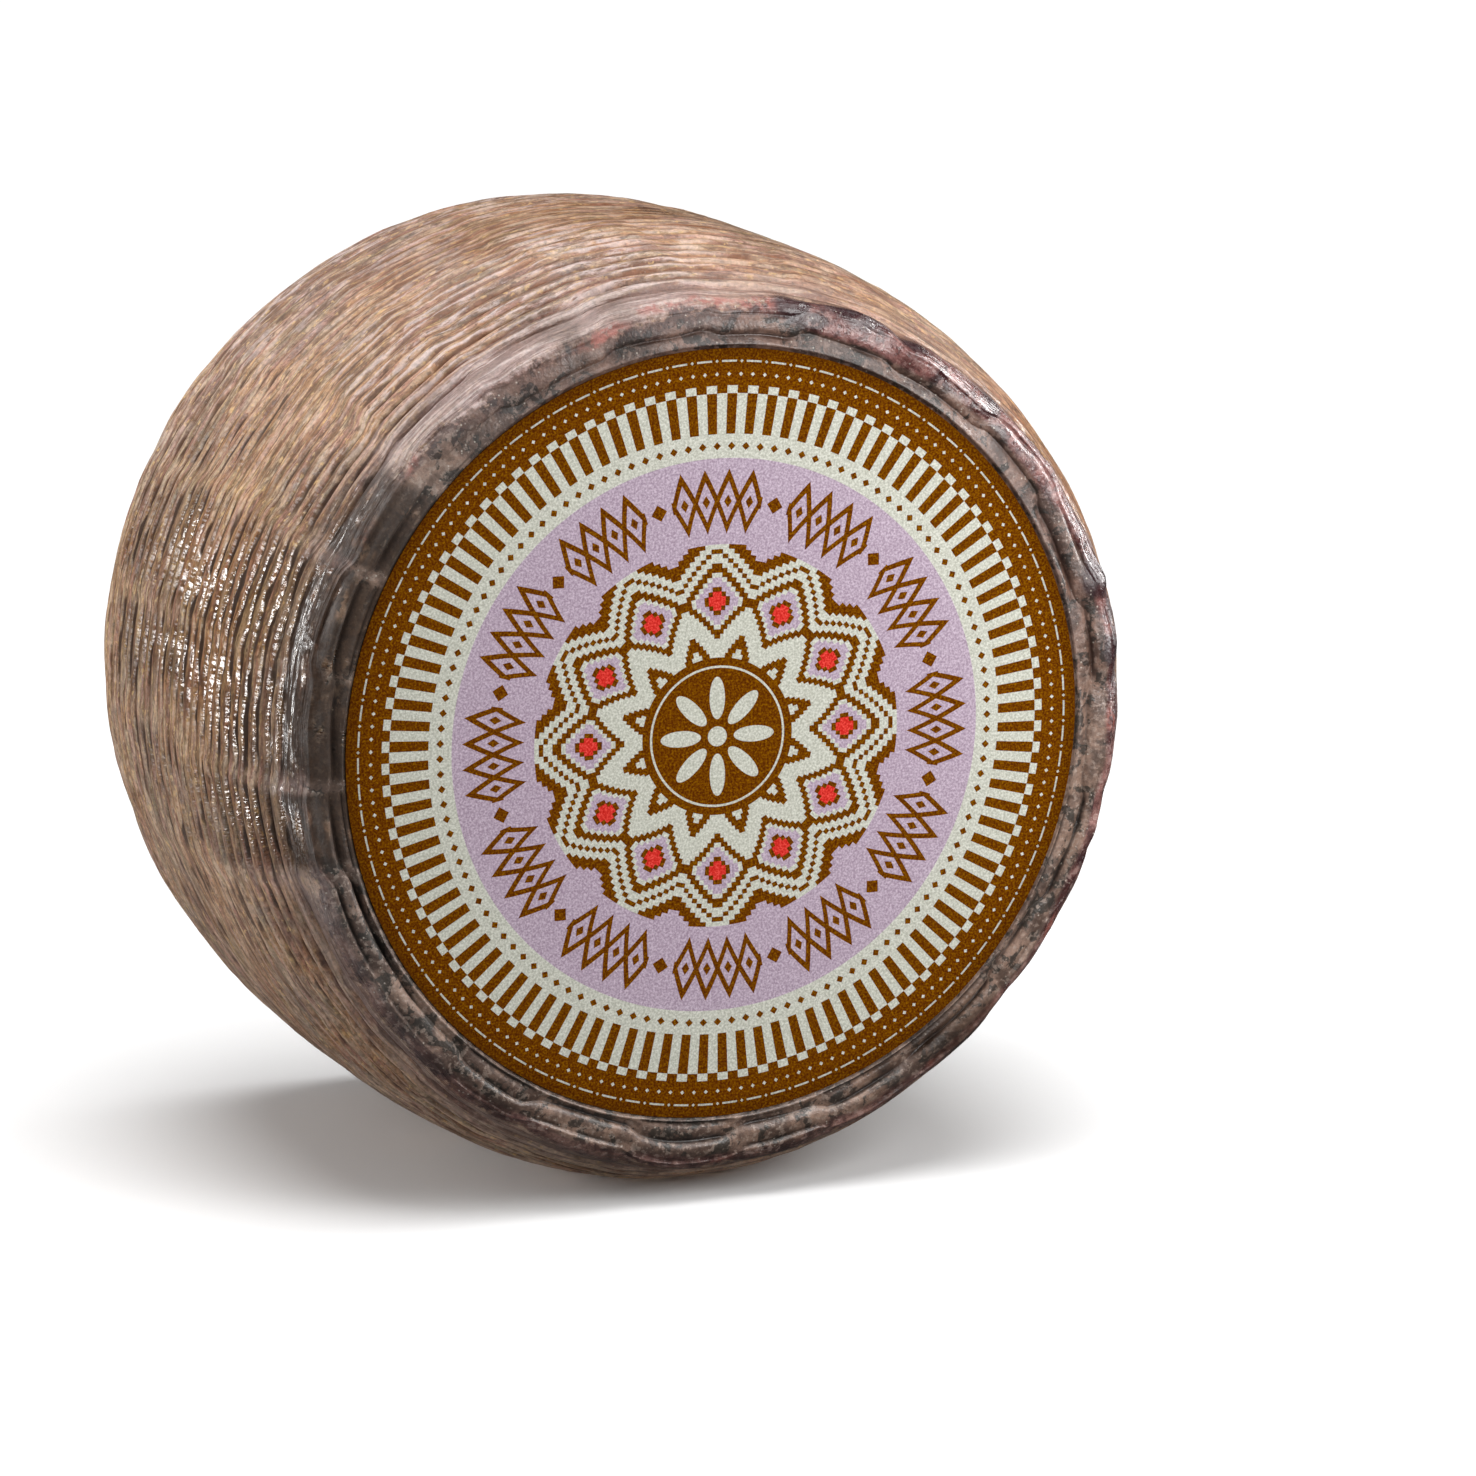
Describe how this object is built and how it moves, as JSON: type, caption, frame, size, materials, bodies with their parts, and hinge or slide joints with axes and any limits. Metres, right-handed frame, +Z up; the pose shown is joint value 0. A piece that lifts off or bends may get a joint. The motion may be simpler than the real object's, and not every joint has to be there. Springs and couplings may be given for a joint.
{
  "type": "wheel of aged pecorino cheese with a paper label",
  "caption": "Barrel-sided wheel of hard sheep's milk cheese on its rim, with a basket-printed rind and a round paper label on one face.",
  "frame": {"origin": "on the ground under the middle of the wheel, centred on the box's bottom", "axes": "+Z is up, the wheel's axis lies along Y, and the labelled face looks along -Y"},
  "size_m": [0.1903, 0.1234, 0.1888],
  "materials": {
    "rind": "brown to grey natural rind, oiled to a broken satin gloss, printed with fine woven ribs and dark folded edges",
    "label_paper": "matt printed paper in brown, cream and lilac rings with a fine speckle"
  },
  "bodies": {
    "root": {"cheese_wheel": "rind", "paper_label": "label_paper"}
  },
  "joints": []
}
